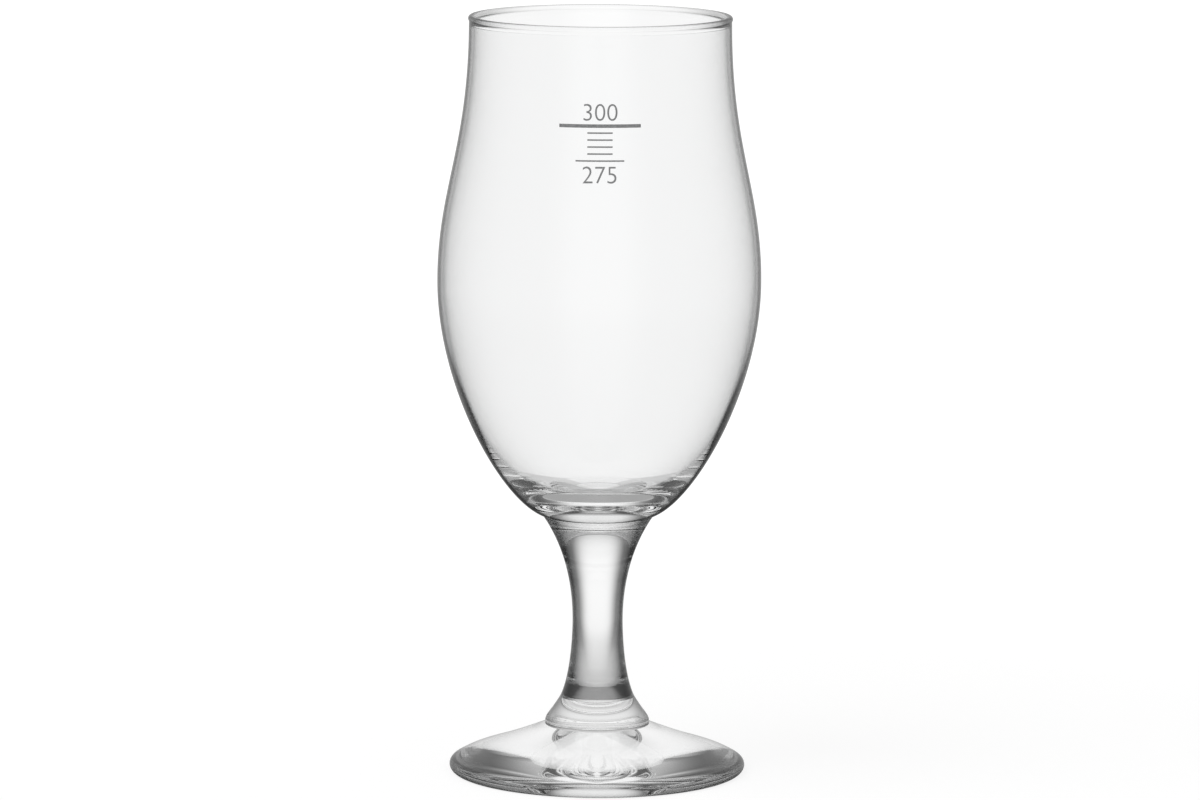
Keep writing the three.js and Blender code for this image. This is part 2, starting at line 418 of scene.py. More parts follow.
def turned_body(name, outline, facets, materials, welds, creases=(), inside_from=None):
    """A closed body turned about Z from an outline that starts and ends on the axis.

    materials are those of its OUTSIDE, its WELD faces and, if it is hollow, its INSIDE. welds are
    the points of the outline where a fused face begins, creases other points whose rings stay
    sharp, and inside_from is the step of the outline where the inside begins.
    """
    vertices, rings = [], []
    for radius, height in outline:
        if radius < TOUCHING:
            rings.append([len(vertices)] * facets)
            vertices.append((0.0, 0.0, height))
            continue
        rings.append(list(range(len(vertices), len(vertices) + facets)))
        for facet in range(facets):
            turn = 2 * math.pi * facet / facets
            vertices.append((radius * math.sin(turn), -radius * math.cos(turn), height))
    faces, slots = [], []
    for step, (low, high) in enumerate(zip(rings, rings[1:])):
        slots += [face_slot(outline, step, welds, inside_from)] * facets
        for facet in range(facets):
            beside = (facet + 1) % facets
            corners = (low[facet], low[beside], high[beside], high[facet])
            faces.append(list(dict.fromkeys(corners)))
    mesh = bpy.data.meshes.new(name)
    mesh.from_pydata(vertices, [], faces)
    mesh.polygons.foreach_set("use_smooth", [True] * len(faces))
    mesh.polygons.foreach_set("material_index", slots)
    mark_creases(mesh, rings, outline, (*welds, *creases))
    mesh.update()
    return new_piece(name, mesh, materials)


def mark_creases(mesh, rings, outline, creases):
    """Keeps the rings at these outline points sharp while the rest is shaded smooth."""
    sharp = set()
    for ring, point in zip(rings, outline):
        if any(math.dist(point, crease) < TOUCHING for crease in creases):
            sharp.update(ring)
    for edge in mesh.edges:
        edge.use_edge_sharp = edge.vertices[0] in sharp and edge.vertices[1] in sharp


def new_piece(name, shape, materials=()):
    """An object in the scene with this mesh or curve and these materials."""
    for material in materials:
        shape.materials.append(material)
    piece = bpy.data.objects.new(name, shape)
    bpy.context.scene.collection.objects.link(piece)
    return piece


def finish_piece(piece, node=None):
    """Puts a piece on the frame."""
    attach(piece, BODY)
    if node:
        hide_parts(node)


# Nodes


def feed(tree, socket, value):
    """Links another node's output to an input, or sets the input to a number."""
    if isinstance(value, bpy.types.NodeSocket):
        tree.links.new(value, socket)
    else:
        socket.default_value = value


def math_node(tree, operation, first, second=None):
    """A Math node whose inputs are sockets or numbers. Gives its output."""
    node = tree.nodes.new("ShaderNodeMath")
    node.operation = operation
    feed(tree, node.inputs[0], first)
    if second is not None:
        feed(tree, node.inputs[1], second)
    return node.outputs[0]


def map_range(tree, value, low, high, to_low=0.0, to_high=1.0, interpolation="SMOOTHSTEP"):
    """A step of a value from low to high, whose inputs are sockets or numbers. Gives its output."""
    node = tree.nodes.new("ShaderNodeMapRange")
    node.interpolation_type = interpolation
    for socket, given in zip(node.inputs, (value, low, high, to_low, to_high)):
        feed(tree, socket, given)
    return node.outputs["Result"]


def separate(tree, vector):
    """The outputs X, Y and Z of a vector."""
    parts = tree.nodes.new("ShaderNodeSeparateXYZ")
    tree.links.new(vector, parts.inputs[0])
    return parts.outputs


def vector_length(tree, vector):
    """The length of a vector."""
    node = tree.nodes.new("ShaderNodeVectorMath")
    node.operation = "LENGTH"
    tree.links.new(vector, node.inputs[0])
    return node.outputs["Value"]


def object_place(tree):
    """The place on the object."""
    return tree.nodes.new("ShaderNodeTexCoord").outputs["Object"]


def noise_at(tree, place, per_metre, detail):
    """Noise at a place. Gives its value."""
    noise = tree.nodes.new("ShaderNodeTexNoise")
    noise.inputs["Detail"].default_value = detail
    tree.links.new(place, noise.inputs["Vector"])
    tree.links.new(per_metre, noise.inputs["Scale"])
    return noise.outputs["Fac"]


def mix_colours(tree, part, first, second):
    """first where part is 0 and second where it is 1. Gives the mixed colour."""
    node = tree.nodes.new("ShaderNodeMix")
    node.data_type = "RGBA"
    node.inputs["A"].default_value = (*first, 1.0)
    node.inputs["B"].default_value = (*second, 1.0)
    tree.links.new(part, node.inputs["Factor"])
    return node.outputs["Result"]


def mix_shader(tree, part, first, second):
    """first where part is 0 and second where it is 1. Gives the mixed shader."""
    node = tree.nodes.new("ShaderNodeMixShader")
    for socket, given in zip(node.inputs, (part, first, second)):
        tree.links.new(given, socket)
    return node.outputs[0]


def bump(tree, height, depth, strength=1.0):
    """A relief of a height between 0 and 1. Gives its normal."""
    node = tree.nodes.new("ShaderNodeBump")
    node.inputs["Strength"].default_value = strength
    node.inputs["Distance"].default_value = depth
    tree.links.new(height, node.inputs["Height"])
    return node.outputs["Normal"]


# Node groups

FLOAT_SOCKET = "NodeSocketFloat"
FILM_NOISE = (0.52, 0.72)
FILM_DETAIL = 4.0
WAVE_DETAIL = 1.0
GRAIN_NOISE = (0.42, 0.66)
GRAIN_DETAIL = 5.0


def new_group(name, inputs, outputs):
    """An empty shader node group with these inputs and their values, and these outputs."""
    group = bpy.data.node_groups.new(name, "ShaderNodeTree")
    for label, value in inputs.items():
        socket = group.interface.new_socket(label, in_out="INPUT", socket_type=FLOAT_SOCKET)
        socket.default_value = value
    for label in outputs:
        group.interface.new_socket(label, in_out="OUTPUT", socket_type=FLOAT_SOCKET)
    return group, group.nodes.new("NodeGroupInput"), group.nodes.new("NodeGroupOutput")


def furnace_waves():
    """Slow waves that hot glass keeps from the mould, drawn out up and down the piece."""
    group, inlet, outlet = new_group(
        "furnace_waves", {"Waves per metre": 60.0, "Draw": 0.4}, ("Height",)
    )
    parts = separate(group, object_place(group))
    drawn = group.nodes.new("ShaderNodeCombineXYZ")
    group.links.new(parts["X"], drawn.inputs["X"])
    group.links.new(parts["Y"], drawn.inputs["Y"])
    upright = math_node(group, "MULTIPLY", parts["Z"], inlet.outputs["Draw"])
    group.links.new(upright, drawn.inputs["Z"])
    waves = noise_at(group, drawn.outputs[0], inlet.outputs["Waves per metre"], WAVE_DETAIL)
    group.links.new(waves, outlet.inputs["Height"])
    return group


def handling_film():
    """A faint film from washing and handling, as a roughness between clean and filmed glass."""
    group, inlet, outlet = new_group(
        "handling_film",
        {"Patches per metre": 45.0, "Clean": 0.0, "Filmed": 0.015},
        ("Roughness",),
    )
    patches = noise_at(
        group, object_place(group), inlet.outputs["Patches per metre"], FILM_DETAIL
    )
    roughness = map_range(
        group, patches, *FILM_NOISE, inlet.outputs["Clean"], inlet.outputs["Filmed"]
    )
    group.links.new(roughness, outlet.inputs["Roughness"])
    return group


def fired_grain():
    """Grain and thin spots of a printed and fired enamel."""
    group, inlet, outlet = new_group(
        "fired_grain", {"Grains per metre": 2600.0}, ("Thin", "Height")
    )
    grain = noise_at(
        group, object_place(group), inlet.outputs["Grains per metre"], GRAIN_DETAIL
    )
    thin = map_range(group, grain, *GRAIN_NOISE, interpolation="LINEAR")
    group.links.new(thin, outlet.inputs["Thin"])
    group.links.new(grain, outlet.inputs["Height"])
    return group


def place_group(tree, build, values):
    """A node of the group that build makes the first time, with these values of its inputs."""
    node = tree.nodes.new("ShaderNodeGroup")
    node.node_tree = bpy.data.node_groups.get(build.__name__) or build()
    for socket, value in values.items():
        node.inputs[socket].default_value = value
    return node


# Materials

GLASS_IOR = 1.52
BOWL_GLOSS = 0.65
FULL_GLOSS = 1.0

# Furnace waves per metre, the share of them that is kept up and down the piece, and their depth
BOWL_WAVES = (55.0, 0.35, 0.000006)
STEM_WAVES = (90.0, 0.25, 0.00001)
FOOT_WAVES = (45.0, 1.0, 0.00002)

# Zones of height or radius over which the painted edge shade of the glass changes
BEAD_HEIGHTS = (0.1774, 0.178)
LOWER_WALL_HEIGHTS = (0.086, 0.106)
BASE_HEIGHTS = (0.074, 0.082)
WAIST_HEIGHTS = (0.030, 0.038)
EDGE_RADII = (0.0332, 0.0338)

# Grazing angles at the two ends of a zone, from 0 for a face seen square on to 1 for one seen edge
# on: where the painted shade on the glass begins, and where it is as dark as it gets
BOWL_BEGIN_BASE = (0.71, 0.655)
BOWL_BEGIN_BEAD = (0.0, -0.45)
BOWL_FULL_WALL = (0.73, 0.83)
BOWL_FULL_BASE = (0.07, 0.0)
LINING_BEGIN = (0.7, 0.1)
LINING_FULL = (0.95, 0.6)
STEM_BEGIN = (-0.1, 0.1)
STEM_FULL = (0.45, 0.6)
FOOT_BEGIN = (1.0, -0.5)
FOOT_FULL = (1.2, 0.9)

LINE_GRAINS = 2600.0
SCALE_GRAINS = 4200.0
GRAIN_STRENGTH = 0.4
GRAIN_DEPTH = 0.00002
ENAMEL_ROUGHNESS = 0.55


def new_material(name):
    """A material with its node tree and its Principled shader."""
    material = bpy.data.materials.new(name)
    material.use_nodes = True
    shader = material.node_tree.nodes["Principled BSDF"]
    return material, material.node_tree, shader


def radius_of(tree, place):
    """The distance of a place on the glass from its axis."""
    level = tree.nodes.new("ShaderNodeVectorMath")
    level.operation = "MULTIPLY"
    level.inputs[1].default_value = (1.0, 1.0, 0.0)
    tree.links.new(place, level.inputs[0])
    return vector_length(tree, level.outputs["Vector"])


def bowl_edge_span(tree, place):
    """The grazing angles over which painted shade darkens the bowl, more where it is thick and on
    the bead.
    """
    height = separate(tree, place)["Z"]
    begin_base = map_range(tree, height, *BASE_HEIGHTS, *BOWL_BEGIN_BASE)
    begin_bead = map_range(tree, height, *BEAD_HEIGHTS, *BOWL_BEGIN_BEAD)
    full_wall = map_range(tree, height, *LOWER_WALL_HEIGHTS, *BOWL_FULL_WALL)
    full_base = map_range(tree, height, *BASE_HEIGHTS, *BOWL_FULL_BASE)
    begin = math_node(tree, "ADD", begin_bead, begin_base)
    return begin, math_node(tree, "ADD", full_wall, full_base)


def lining_edge_span(tree, place):
    """The grazing angles over which painted shade darkens the inside of the bowl, more of them on
    the bead.
    """
    height = separate(tree, place)["Z"]
    begin = map_range(tree, height, *BEAD_HEIGHTS, *LINING_BEGIN)
    return begin, map_range(tree, height, *BEAD_HEIGHTS, *LINING_FULL)


def stem_edge_span(tree, place):
    """The grazing angles over which painted shade darkens the stem, more of them below the waist.
    """
    height = separate(tree, place)["Z"]
    begin = map_range(tree, height, *WAIST_HEIGHTS, *STEM_BEGIN)
    return begin, map_range(tree, height, *WAIST_HEIGHTS, *STEM_FULL)


def foot_edge_span(tree, place):
    """The grazing angles over which painted shade darkens the foot, which are those of its rounded
    edge.
    """
    radius = radius_of(tree, place)
    begin = map_range(tree, radius, *EDGE_RADII, *FOOT_BEGIN)
    return begin, map_range(tree, radius, *EDGE_RADII, *FOOT_FULL)


def clear_glass(name, face, edge, painted_span, waves, gloss=FULL_GLOSS):
    """Clear soda glass, darkened from face to edge by painted shade over a span of grazing angles.

    The span is a function of the place on the glass, and gloss dims what the outside mirrors.
    """
    per_metre, draw, depth = waves
    material, tree, shader = new_material(name)
    shader.inputs["Transmission Weight"].default_value = 1.0
    shader.inputs["IOR"].default_value = GLASS_IOR
    shader.inputs["Specular Tint"].default_value = (gloss, gloss, gloss, 1.0)
    facing = tree.nodes.new("ShaderNodeLayerWeight")
    span = painted_span(tree, object_place(tree))
    # Painted shade: the glass colour goes from face to edge as the surface turns away, in place of
    # dark surroundings seen through the edges.
    grazing = map_range(tree, facing.outputs["Facing"], *span)
    tree.links.new(mix_colours(tree, grazing, face, edge), shader.inputs["Base Color"])
    film = place_group(tree, handling_film, {})
    tree.links.new(film.outputs["Roughness"], shader.inputs["Roughness"])
    wavy = place_group(tree, furnace_waves, {"Waves per metre": per_metre, "Draw": draw})
    normal = bump(tree, wavy.outputs["Height"], depth)
    tree.links.new(normal, shader.inputs["Normal"])
    return material


def fused_weld():
    """The face where two bodies are fused, which light passes as if it weren't there."""
    material = bpy.data.materials.get("fused_weld")
    if material:
        return material
    material, tree, shader = new_material("fused_weld")
    through = tree.nodes.new("ShaderNodeBsdfTransparent")
    tree.links.new(through.outputs[0], tree.nodes["Material Output"].inputs["Surface"])
    tree.nodes.remove(shader)
    return material


def fired_enamel(name, look, grains_per_metre):
    """Matt grey enamel, fired on to the glass."""
    material, tree, shader = new_material(name)
    grain = place_group(tree, fired_grain, {"Grains per metre": grains_per_metre})
    grey = mix_colours(tree, grain.outputs["Thin"], look.enamel, look.enamel_worn)
    tree.links.new(grey, shader.inputs["Base Color"])
    shader.inputs["Roughness"].default_value = ENAMEL_ROUGHNESS
    normal = bump(tree, grain.outputs["Height"], GRAIN_DEPTH, GRAIN_STRENGTH)
    tree.links.new(normal, shader.inputs["Normal"])
    return material


# Enamel marks

FILL_NUMBER = "300"
LAST_NUMBER = "275"
DIGIT_SHARE = 0.729  # height of a digit, of the type's size
DIGIT_STEPS = 12
BAR_STEPS = 40
BAR_ROUND_STEPS = 8
BAR_ROUND_POWER = 0.5
HALVINGS = 40


def bowl_radius(bowl, height):
    """The outside radius of the bowl at a height between its belly and its rim."""
    neck = bowl_curves(bowl)[1]
    low, high = 0.0, 1.0
    for _ in range(HALVINGS):
        middle = (low + high) / 2
        if bezier_at(neck, middle)[1] < height:
            low = middle
        else:
            high = middle
    return bezier_at(neck, low)[0]


def wrap_on_bowl(mesh, bowl, seat):
    """Bends a flat mark, drawn in X and Z and thick towards -Y, on to the front of the bowl."""
    for vertex in mesh.vertices:
        across, out, height = vertex.co.x, -vertex.co.y, vertex.co.z
        radius = bowl_radius(bowl, height)
        turn = across / radius
        radius += seat + out
        vertex.co = (radius * math.sin(turn), -radius * math.cos(turn), height)


def add_bar(sketch, centre, bar_length, width, relief):
    """Adds a flat bar with rounded long edges and a flat back at a height to a sketch."""
    section = []
    for step in range(BAR_ROUND_STEPS + 1):
        turn = math.pi * step / BAR_ROUND_STEPS
        section.append(
            (width / 2 * math.cos(turn), relief * math.sin(turn) ** BAR_ROUND_POWER)
        )
    rows = []
    for step in range(BAR_STEPS + 1):
        across = mix(-bar_length / 2, bar_length / 2, step / BAR_STEPS)
        rows.append([sketch.verts.new((across, -up, centre + side)) for side, up in section])
    for left, right in zip(rows, rows[1:]):
        for index in range(len(section)):
            beside = (index + 1) % len(section)
            sketch.faces.new((left[index], left[beside], right[beside], right[index]))
    sketch.faces.new(rows[0][::-1])
    sketch.faces.new(rows[-1])


def marked_piece(name, sketch, marks, bowl, material):
    """A piece on the front of the bowl from a flat sketch, which is used up."""
    bmesh.ops.recalc_face_normals(sketch, faces=sketch.faces)
    mesh = bpy.data.meshes.new(name)
    sketch.to_mesh(mesh)
    sketch.free()
    wrap_on_bowl(mesh, bowl, marks.seat)
    mesh.polygons.foreach_set("use_smooth", [len(face.vertices) == 4 for face in mesh.polygons])
    return new_piece(name, mesh, (material,))


def bars_piece(name, bars, marks, bowl, material):
    """One piece of one or more flat bars, each a height, a length and a width."""
    sketch = bmesh.new()
    for centre, bar_length, width in bars:
        add_bar(sketch, centre, bar_length, width, marks.relief)
    return marked_piece(name, sketch, marks, bowl, material)


def number_piece(name, text, foot_height, marks, bowl, material):
    """A number with its foot at a height, centred on the front of the bowl."""
    curve = bpy.data.curves.new(name + "_type", "FONT")
    curve.body = text
    curve.align_x = "CENTER"
    curve.size = marks.number_height / DIGIT_SHARE
    curve.offset = -marks.number_thinning
    curve.extrude = marks.relief / 2
    curve.resolution_u = DIGIT_STEPS
    flat = new_piece(name + "_sketch", curve)
    bpy.context.view_layer.update()
    graph = bpy.context.evaluated_depsgraph_get()
    mesh = bpy.data.meshes.new_from_object(flat.evaluated_get(graph))
    bpy.data.objects.remove(flat)
    lifted = Matrix.Translation((0, -marks.relief / 2, foot_height))
    mesh.transform(lifted @ Matrix.Rotation(math.pi / 2, 4, "X"))
    sketch = bmesh.new()
    sketch.from_mesh(mesh)
    bpy.data.meshes.remove(mesh)
    bmesh.ops.remove_doubles(sketch, verts=sketch.verts, dist=TOUCHING)
    return marked_piece(name, sketch, marks, bowl, material)


# Operators for the pieces


class BEERGLASS_OT_bowl(bpy.types.Operator):
    """Build the tulip bowl"""

    bl_idname = "beer_glass.bowl"
    bl_label = "Bowl"

    def execute(self, context):
        scene = context.scene
        bowl, look = scene.beer_glass_bowl, scene.beer_glass_look
        outline = bowl_outline(bowl)
        weld = (bowl.weld_diameter / 2, bowl.weld_height)
        brim = max(range(len(outline)), key=lambda step: outline[step][1])
        glass = clear_glass(
            "bowl_glass", look.glass, look.bowl_edge, bowl_edge_span, BOWL_WAVES, BOWL_GLOSS
        )
        lining = clear_glass(
            "bowl_lining_glass", look.glass, look.lining_edge, lining_edge_span, BOWL_WAVES
        )
        materials = (glass, fused_weld(), lining)
        piece = turned_body(
            "tulip_bowl", outline, bowl.facets, materials, (weld,), inside_from=brim
        )
        finish_piece(piece, "bowl")
        return {"FINISHED"}


class BEERGLASS_OT_stem(bpy.types.Operator):
    """Build the drawn stem"""

    bl_idname = "beer_glass.stem"
    bl_label = "Stem"

    def execute(self, context):
        scene = context.scene
        bowl, stem, foot = scene.beer_glass_bowl, scene.beer_glass_stem, scene.beer_glass_foot
        look = scene.beer_glass_look
        outline = stem_outline(stem, bowl, foot)
        upper = (bowl.weld_diameter / 2, bowl.weld_height)
        lower = (stem.end_diameter / 2, foot.weld_height)
        glass = clear_glass("stem_glass", look.glass, look.stem_edge, stem_edge_span, STEM_WAVES)
        materials = (glass, fused_weld())
        piece = turned_body("drawn_stem", outline, stem.facets, materials, (upper, lower))
        finish_piece(piece, "stem")
        return {"FINISHED"}


class BEERGLASS_OT_foot(bpy.types.Operator):
    """Build the pressed foot"""

    bl_idname = "beer_glass.foot"
    bl_label = "Foot"

    def execute(self, context):
        scene = context.scene
        stem, foot = scene.beer_glass_stem, scene.beer_glass_foot
        look = scene.beer_glass_look
        outline = foot_outline(foot, stem)
        weld = (stem.end_diameter / 2, foot.weld_height)
        collar_base = (foot.collar_diameter / 2, foot.collar_base)
        glass = clear_glass("foot_glass", look.glass, look.foot_edge, foot_edge_span, FOOT_WAVES)
        materials = (glass, fused_weld())
        piece = turned_body(
            "pressed_foot", outline, foot.facets, materials, (weld,), (collar_base,)
        )
        finish_piece(piece, "foot")
        return {"FINISHED"}


class BEERGLASS_OT_marks(bpy.types.Operator):
    """Print the fill line and its scale on the bowl"""

    bl_idname = "beer_glass.marks"
    bl_label = "Fill line and scale"

    def execute(self, context):
        scene = context.scene
        bowl, marks = scene.beer_glass_bowl, scene.beer_glass_marks
        bold = fired_enamel("line_enamel", scene.beer_glass_look, LINE_GRAINS)
        fine = fired_enamel("scale_enamel", scene.beer_glass_look, SCALE_GRAINS)
        line = (marks.line_height, marks.line_length, marks.line_width)
        fill_bar = bars_piece("fill_bar", [line], marks, bowl, bold)
        finish_piece(fill_bar, "fill_line")
        ticks = []
        for step in range(1, marks.tick_count + 1):
            last = step == marks.tick_count
            tick_length = marks.last_tick_length if last else marks.tick_length
            height = marks.line_height - step * marks.tick_pitch
            ticks.append((height, tick_length, marks.tick_width))
        finish_piece(bars_piece("scale_ticks", ticks, marks, bowl, fine))
        above = marks.line_height + marks.line_width / 2 + marks.number_gap
        below = ticks[-1][0] - marks.tick_width / 2 - marks.number_gap - marks.number_height
        for name, text, height in (
            ("fill_number", FILL_NUMBER, above),
            ("scale_number", LAST_NUMBER, below),
        ):
            finish_piece(number_piece(name, text, height, marks, bowl, fine))
        return {"FINISHED"}


# The stage. The camera, and the light that crosses both walls of the hollow bowl, see a white room.
# Solid glass and mirrored light see soft screens in front, behind and beside the glass, and the
# darker gaps between them draw the bands in the stem, the foot and the bowl's base.

CAMERA_DISTANCE = 1.53201
CAMERA_HEIGHT = 0.31547
CAMERA_PITCH = math.radians(8.427)
CAMERA_ROLL = math.radians(0.284)
CAMERA_LENS = 197.305
SENSOR_WIDTH = 36.0
CAMERA_SHIFT = 1.3 / 1200  # of the picture's width

LAMP_PLACE = (-0.7, -0.4, 1.5)
LAMP_AIM = (0.0, 0.0, 0.09)
LAMP_SIZE = 1.2
LAMP_POWER = 8.0

# The floor is partly lit, to take the shadow, and partly aglow, less so near the glass
FLOOR_RADIUS = 6.0
FLOOR_FACETS = 96
FLOOR_LIT = 0.22
FLOOR_NEAR_FAR = (0.15, 0.5)
FLOOR_GLOW = (0.84, 1.0)
SOLID_TOP = 0.069

# Counts of the light path: bounces allowed, walls crossed to see through the bowl, and mirrorings
# of light that is trapped in the bowl's floor, trapped in its wall, or thrown up at the ceiling
GLASS_BOUNCES = 40
BOWL_CROSSINGS = 4
FLOOR_MIRRORS = 4
WALL_MIRRORS = 10
CEILING_MIRRORS = 2

# Brightness of what the glass sees
WHITE = 1.0
SOFT_LIGHT = 0.55
ROOM_GLOSS = 0.5
FLOOR_GLOSS = 0.1
OVERHEAD_LIGHT = 0.3
DARK_GAP = 0.07
STRAIGHT_GAP = 0.28
TABLE_LIGHT = 0.75
TRAPPED_LIGHT = 0.38

# Half widths of the screens and powers of their falloff
FRONT_HALF_WIDTH = math.radians(28.5)
SIDE_HALF_WIDTH = math.radians(26)
SCREEN_FALLOFF = 4.5
SCREEN_RISE = math.radians(6)
SCREEN_HALF_HEIGHT = math.radians(46)
SCREEN_END_FALLOFF = 3.0
CEILING_HALF_WIDTH = math.radians(42)
CEILING_FALLOFF = 6.0

# Angles above the table's level between which a brightness changes
OVERHEAD_RISE = (math.radians(45), math.radians(70))
TABLE_RISE = (math.radians(-20), math.radians(-11))
ROOM_RISE = (math.radians(-22), math.radians(-6))
TRAPPED_RISE = (math.radians(15), math.radians(30))
CEILING_RISE = (math.radians(20), math.radians(32))


def at_least(tree, depth, number):
    """1 where a count of the light path is at least a number."""
    return math_node(tree, "GREATER_THAN", depth, number - 0.5)


def none_of(tree, depth):
    """1 where a count of the light path is nought."""
    return math_node(tree, "LESS_THAN", depth, 0.5)


def glass_ray(tree, path):
    """1 for light that comes by way of glass or a gloss."""
    return math_node(
        tree, "MAXIMUM", path.outputs["Is Glossy Ray"], path.outputs["Is Transmission Ray"]
    )


def floor_material(look):
    """A white floor that takes the shadow. Solid glass and mirrored light see past it."""
    material, tree, shader = new_material("studio_floor")
    shader.inputs["Base Color"].default_value = (FLOOR_LIT, FLOOR_LIT, FLOOR_LIT, 1.0)
    shader.inputs["Roughness"].default_value = 1.0
    shader.inputs["Specular IOR Level"].default_value = 0.0
    path = tree.nodes.new("ShaderNodeLightPath")
    distance = vector_length(tree, object_place(tree))
    seen = tree.nodes.new("ShaderNodeEmission")
    seen.inputs["Color"].default_value = (*look.floor, 1.0)
    strength = map_range(tree, distance, *FLOOR_NEAR_FAR, *FLOOR_GLOW)
    tree.links.new(strength, seen.inputs["Strength"])
    lit = tree.nodes.new("ShaderNodeAddShader")
    tree.links.new(shader.outputs[0], lit.inputs[0])
    tree.links.new(seen.outputs[0], lit.inputs[1])
    slope = tree.nodes.new("ShaderNodeLayerWeight")
    square_on = math_node(tree, "SUBTRACT", 1.0, slope.outputs["Facing"])
    steepness = math_node(tree, "TANGENT", math_node(tree, "ARCSINE", square_on))
    left_axis_at = math_node(tree, "MULTIPLY", distance, steepness)
    from_bowl = math_node(tree, "GREATER_THAN", left_axis_at, SOLID_TOP)
    straight = none_of(tree, path.outputs["Glossy Depth"])
    through_bowl = math_node(tree, "MULTIPLY", from_bowl, straight)
    glow = tree.nodes.new("ShaderNodeEmission")
    glow.inputs["Color"].default_value = (*look.floor, 1.0)
    past = tree.nodes.new("ShaderNodeBsdfTransparent")
    in_glass = mix_shader(tree, through_bowl, past.outputs[0], glow.outputs[0])
    whole = mix_shader(tree, glass_ray(tree, path), lit.outputs[0], in_glass)
    tree.links.new(whole, tree.nodes["Material Output"].inputs["Surface"])
    return material


def background(tree, strength):
    """A white background of a strength that is a number or a socket. Gives its shader."""
    node = tree.nodes.new("ShaderNodeBackground")
    node.inputs["Color"].default_value = (1.0, 1.0, 1.0, 1.0)
    feed(tree, node.inputs["Strength"], strength)
    return node.outputs[0]


def screen(tree, angle_from_middle, half_width, falloff):
    """Brightness of a soft screen: 1 in the middle, a half at half_width and dark beyond."""
    off = math_node(tree, "DIVIDE", angle_from_middle, half_width)
    off = math_node(tree, "POWER", off, falloff)
    return math_node(tree, "DIVIDE", 1.0, math_node(tree, "ADD", off, 1.0))


def screens_seen(tree, turn, rise, straight):
    """Brightness of the screens, of the light overhead, of the table and of the gaps.

    turn is the angle from straight ahead or behind, rise the angle above the table's level, and
    straight is 1 for light that wasn't mirrored.
    """
    front = screen(tree, turn, FRONT_HALF_WIDTH, SCREEN_FALLOFF)
    from_side = math_node(tree, "SUBTRACT", math.pi / 2, turn)
    side = screen(tree, from_side, SIDE_HALF_WIDTH, SCREEN_FALLOFF)
    around = math_node(tree, "MAXIMUM", front, math_node(tree, "MULTIPLY", side, straight))
    from_middle = math_node(tree, "ABSOLUTE", math_node(tree, "SUBTRACT", rise, SCREEN_RISE))
    upright = screen(tree, from_middle, SCREEN_HALF_HEIGHT, SCREEN_END_FALLOFF)
    light = math_node(tree, "MULTIPLY", around, upright)
    steep = math_node(tree, "ABSOLUTE", rise)
    overhead = map_range(tree, steep, *OVERHEAD_RISE, 0.0, OVERHEAD_LIGHT)
    light = math_node(tree, "MAXIMUM", light, overhead)
    light = math_node(tree, "MAXIMUM", light, DARK_GAP)
    table = map_range(tree, rise, *TABLE_RISE, TABLE_LIGHT, STRAIGHT_GAP)
    return math_node(tree, "MAXIMUM", light, math_node(tree, "MULTIPLY", straight, table))


def studio_world(scene):
    """A white room, with the screens that solid glass and mirrored light see in it."""
    world = bpy.data.worlds.new("studio")
    scene.world = world
    world.use_nodes = True
    tree = world.node_tree
    tree.nodes.clear()
    path = tree.nodes.new("ShaderNodeLightPath")
    crossings, mirrors = path.outputs["Transmission Depth"], path.outputs["Glossy Depth"]
    parts = separate(tree, tree.nodes.new("ShaderNodeTexCoord").outputs["Generated"])
    across = math_node(tree, "ABSOLUTE", parts["X"])
    along = math_node(tree, "ABSOLUTE", parts["Y"])
    turn = math_node(tree, "ARCTAN2", across, along)
    rise = math_node(tree, "ARCSINE", parts["Z"])
    straight = none_of(tree, mirrors)
    mirrored = math_node(tree, "SUBTRACT", 1.0, straight)
    both_walls = at_least(tree, crossings, BOWL_CROSSINGS)
    above_floor = math_node(tree, "GREATER_THAN", parts["Z"], 0.0)

    outside = none_of(tree, crossings)
    room = map_range(tree, rise, *ROOM_RISE, FLOOR_GLOSS, ROOM_GLOSS)
    in_bowl = math_node(tree, "MULTIPLY", both_walls, mirrored)
    in_floor = math_node(tree, "COMPARE", mirrors, FLOOR_MIRRORS)
    in_wall = at_least(tree, mirrors, WALL_MIRRORS)
    trapped = math_node(tree, "MAXIMUM", in_floor, in_wall)
    around_wall = map_range(tree, rise, *TRAPPED_RISE, TRAPPED_LIGHT, WHITE)
    upward = map_range(tree, rise, *CEILING_RISE)
    facing = screen(tree, turn, CEILING_HALF_WIDTH, CEILING_FALLOFF)
    upward = math_node(tree, "MULTIPLY", upward, facing)
    thrown_up = at_least(tree, mirrors, CEILING_MIRRORS)
    ceiling = math_node(tree, "MULTIPLY", upward, thrown_up)
    through_bowl = math_node(tree, "MULTIPLY", both_walls, straight)
    through_bowl = math_node(tree, "MULTIPLY", through_bowl, above_floor)

    in_glass = background(tree, screens_seen(tree, turn, rise, straight))
    for part, light in (
        (outside, room),
        (in_bowl, ROOM_GLOSS),
        (trapped, around_wall),
        (ceiling, WHITE),
        (through_bowl, WHITE),
    ):
        in_glass = mix_shader(tree, part, in_glass, background(tree, light))
    unseen = mix_shader(tree, glass_ray(tree, path), background(tree, SOFT_LIGHT), in_glass)
    whole = mix_shader(tree, path.outputs["Is Camera Ray"], unseen, background(tree, WHITE))
    out = tree.nodes.new("ShaderNodeOutputWorld")
    tree.links.new(whole, out.inputs["Surface"])


def add_floor(scene):
    """The floor that the glass stands on."""
    disc = bmesh.new()
    bmesh.ops.create_circle(disc, cap_ends=True, segments=FLOOR_FACETS, radius=FLOOR_RADIUS)
    mesh = bpy.data.meshes.new("studio_floor")
    disc.to_mesh(mesh)
    disc.free()
    floor = new_piece("studio_floor", mesh, (floor_material(scene.beer_glass_look),))


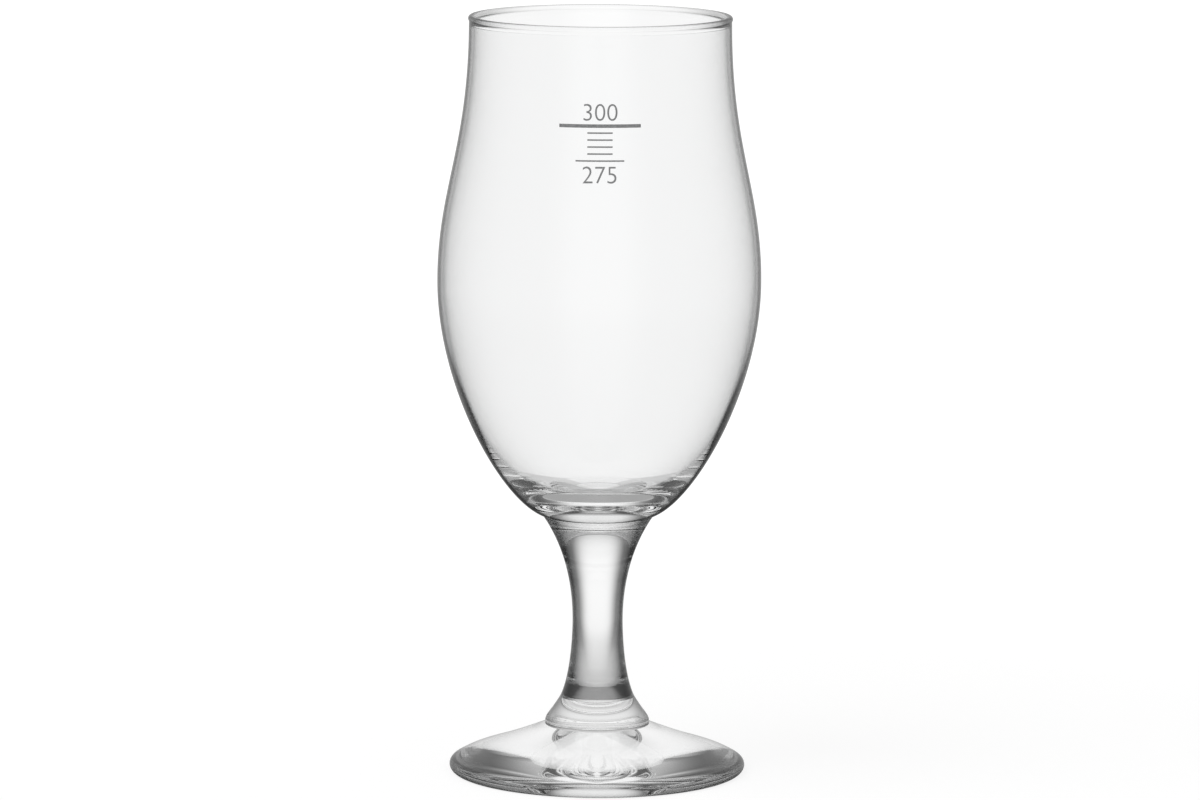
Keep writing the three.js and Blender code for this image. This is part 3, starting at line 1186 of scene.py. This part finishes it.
def add_lamp(scene):
    """A soft lamp for the shadow, which doesn't show in the glass."""
    lamp = bpy.data.lights.new("soft_lamp", "AREA")
    lamp.shape = "DISK"
    lamp.size = LAMP_SIZE
    lamp.energy = LAMP_POWER
    soft = bpy.data.objects.new("soft_lamp", lamp)
    soft.location = LAMP_PLACE
    aim = Vector(LAMP_AIM) - soft.location
    soft.rotation_euler = aim.to_track_quat("-Z", "Y").to_euler()
    soft.visible_glossy = False
    soft.visible_transmission = False
    scene.collection.objects.link(soft)


def add_camera(scene):
    """The camera of the photograph."""
    camera = bpy.data.cameras.new("photo_camera")
    camera.sensor_fit = "HORIZONTAL"
    camera.sensor_width = SENSOR_WIDTH
    camera.lens = CAMERA_LENS
    camera.shift_x = CAMERA_SHIFT
    view = bpy.data.objects.new("photo_camera", camera)
    view.matrix_world = (
        Matrix.Translation((0.0, -CAMERA_DISTANCE, CAMERA_HEIGHT))
        @ Matrix.Rotation(math.pi / 2 - CAMERA_PITCH, 4, "X")
        @ Matrix.Rotation(CAMERA_ROLL, 4, "Z")
    )
    scene.collection.objects.link(view)
    scene.camera = view


class BEERGLASS_OT_stage(bpy.types.Operator):
    """Set the floor, the light and the camera"""

    bl_idname = "beer_glass.stage"
    bl_label = "Stage"

    def execute(self, context):
        scene = context.scene
        scene.view_settings.view_transform = "Standard"
        for bounces in ("max_bounces", "glossy_bounces", "transmission_bounces"):
            setattr(scene.cycles, bounces, GLASS_BOUNCES)
        add_floor(scene)
        studio_world(scene)
        add_lamp(scene)
        add_camera(scene)
        return {"FINISHED"}


# The add-on

OPERATORS = (
    BEERGLASS_OT_stage,
    BEERGLASS_OT_bowl,
    BEERGLASS_OT_stem,
    BEERGLASS_OT_foot,
    BEERGLASS_OT_marks,
)


class BEERGLASS_PT_panel(bpy.types.Panel):
    """Lists the steps and the sizes of the beer glass"""

    bl_idname = "BEERGLASS_PT_panel"
    bl_label = "Beer Glass"
    bl_space_type = "VIEW_3D"
    bl_region_type = "UI"
    bl_category = "Beer Glass"

    def draw(self, context):
        for operator in OPERATORS:
            self.layout.operator(operator.bl_idname)
        for group in GROUPS:
            box = self.layout.box()
            values = getattr(context.scene, group)
            for name in values.bl_rna.properties.keys():
                if name not in ("rna_type", "name"):
                    box.prop(values, name)


def register():
    for group, kind in GROUPS.items():
        bpy.utils.register_class(kind)
        setattr(bpy.types.Scene, group, bpy.props.PointerProperty(type=kind))
    for kind in (*OPERATORS, BEERGLASS_PT_panel):
        bpy.utils.register_class(kind)


def unregister():
    for kind in (BEERGLASS_PT_panel, *reversed(OPERATORS)):
        bpy.utils.unregister_class(kind)
    for group, kind in reversed(GROUPS.items()):
        delattr(bpy.types.Scene, group)
        bpy.utils.unregister_class(kind)


def main():
    register()
    bpy.ops.beer_glass.stage()
    bpy.ops.beer_glass.bowl()
    bpy.ops.beer_glass.stem()
    bpy.ops.beer_glass.foot()
    bpy.ops.beer_glass.marks()


if __name__ == "__main__":
    main()
